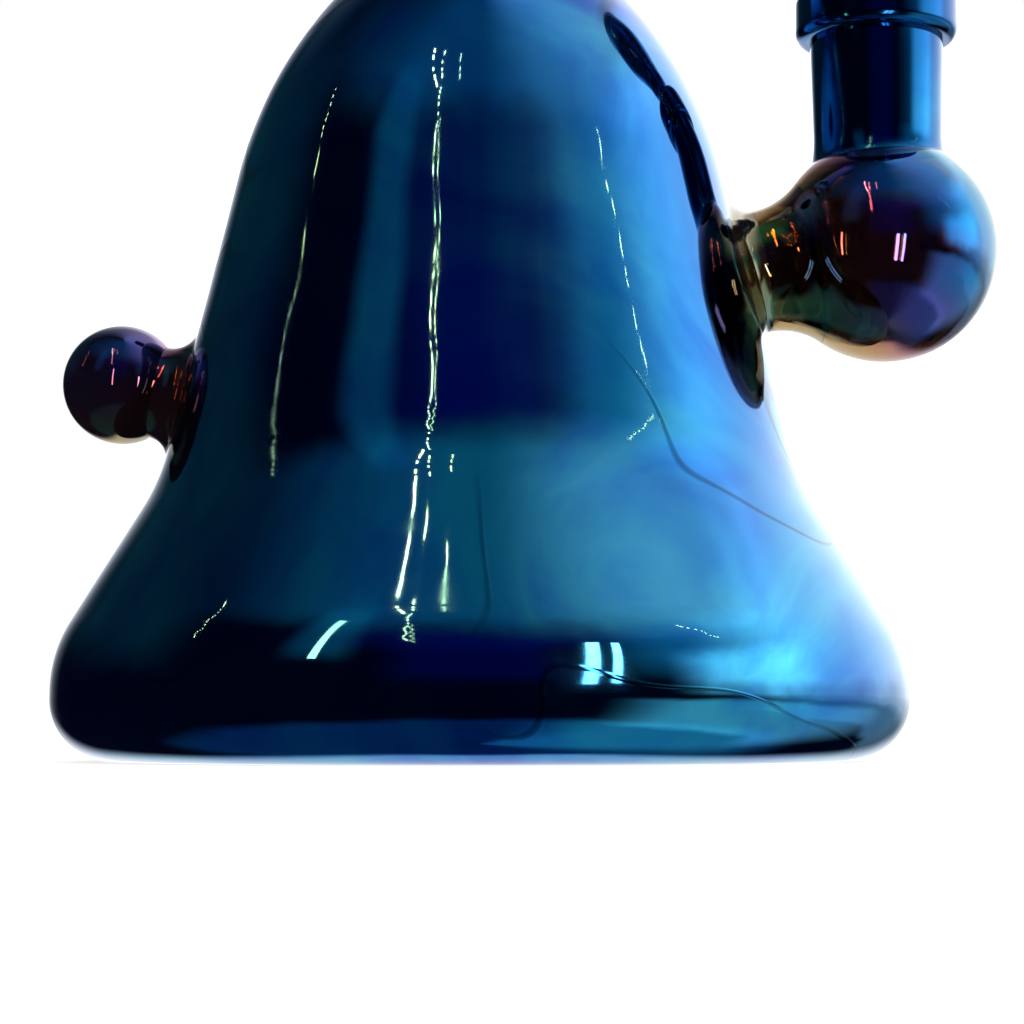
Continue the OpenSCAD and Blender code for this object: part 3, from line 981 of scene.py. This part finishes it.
LIGHT_MIDDLE = Vector((0, 0, 60)) * MM
LIGHT_AWAY = 1.2            # metres from there to each string of light


def direction(turn, rise):
    """A direction by its turn and rise in degrees, as in make_world."""
    turn = math.radians(turn)
    rise = math.radians(rise)
    return Vector((math.sin(turn) * math.cos(rise), -math.cos(turn) * math.cos(rise), math.sin(rise)))


def make_strip(name, low, high, width, colour, radiance):
    """A thin bright strip from low to high, turned towards the glass."""
    place = (low + high) / 2
    back = (place - LIGHT_MIDDLE).normalized()
    along = (high - low).normalized()
    light = bpy.data.lights.new(name, "AREA")
    light.shape = "RECTANGLE"
    light.size = width * MM
    light.size_y = (high - low).length
    light.color = colour
    light.energy = radiance * math.pi * light.size * light.size_y
    lamp = bpy.data.objects.new(name, light)
    bpy.context.scene.collection.objects.link(lamp)
    across = along.cross(back).normalized()
    turned = Matrix((across, along, across.cross(along))).transposed().to_4x4()
    lamp.matrix_world = Matrix.Translation(place) @ turned


def make_string(name, corners, dashes, width, radiance):
    """A string of glowing dashes of chance lengths. Each corner of its line is a turn and a rise."""
    glow = (1.0, 0.30, 0.07)
    for i in range(dashes):
        chance = noise.cell(Vector((i, len(name), 0.5)))
        sway = 0.45 * math.sin(5.1 * i + 1.3)
        ends = []
        for t in ((i + 0.3 * chance) / dashes, (i + 0.45 + 0.5 * chance) / dashes):
            place = t * (len(corners) - 1)
            k = min(int(place), len(corners) - 2)
            turn, rise = Vector(corners[k]).lerp(Vector(corners[k + 1]), place - k)
            ends.append(LIGHT_MIDDLE + LIGHT_AWAY * direction(turn + sway, rise))
        make_strip(f"{name}_{i}", ends[0], ends[1], width, glow, radiance)


def make_lights():
    """The upright glints on the glass: strings of light, two bright slits and a warm lamp."""
    make_string("string_front", ((-19, 31), (-20, 36), (-21, 42), (-23, 52), (-27, 64)), 20, 5, 150)
    make_string("string_twin", ((-17, 30), (-18, 36), (-20, 43)), 22, 3, 110)
    make_string("string_thick", ((-25, 51), (-37, 65)), 5, 8, 220)
    make_string("string_low", ((-13, 54), (-15, 65)), 4, 3, 130)
    make_string("string_left", ((-84, 25), (-84, 30), (-87, 37), (-91, 44)), 14, 3, 80)
    make_string("string_right", ((69, 28), (66, 33), (61, 39)), 10, 3, 90)
    for x, y, width in ((63, -150, 8), (79, -145, 6)):
        low = Vector((x, y, 14)) * MM
        high = Vector((x + 6, y, 82)) * MM
        make_strip(f"slit_window_{x}", low, high, width, (1, 1, 1), 14)
    low = Vector((-70, -107, 38)) * MM
    high = Vector((-66, -107, 96)) * MM
    make_strip("warm_lamp", low, high, 4, (1.0, 0.6, 0.25), 16)


def make_camera():
    """At the height of the table, looking a little up."""
    aim = Vector((4.34, 0, 34)) * MM
    eye = Vector((4.34, -334, 4)) * MM
    camera = bpy.data.cameras.new("camera")
    camera.lens = 85.7
    camera.sensor_width = 36
    camera.clip_start = 0.01
    holder = bpy.data.objects.new("camera", camera)
    holder.location = eye
    holder.rotation_euler = (aim - eye).to_track_quat("-Z", "Y").to_euler()
    bpy.context.scene.collection.objects.link(holder)
    bpy.context.scene.camera = holder
    bpy.context.scene.view_settings.view_transform = "Standard"


make_world()
make_floor()
make_lights()
make_camera()
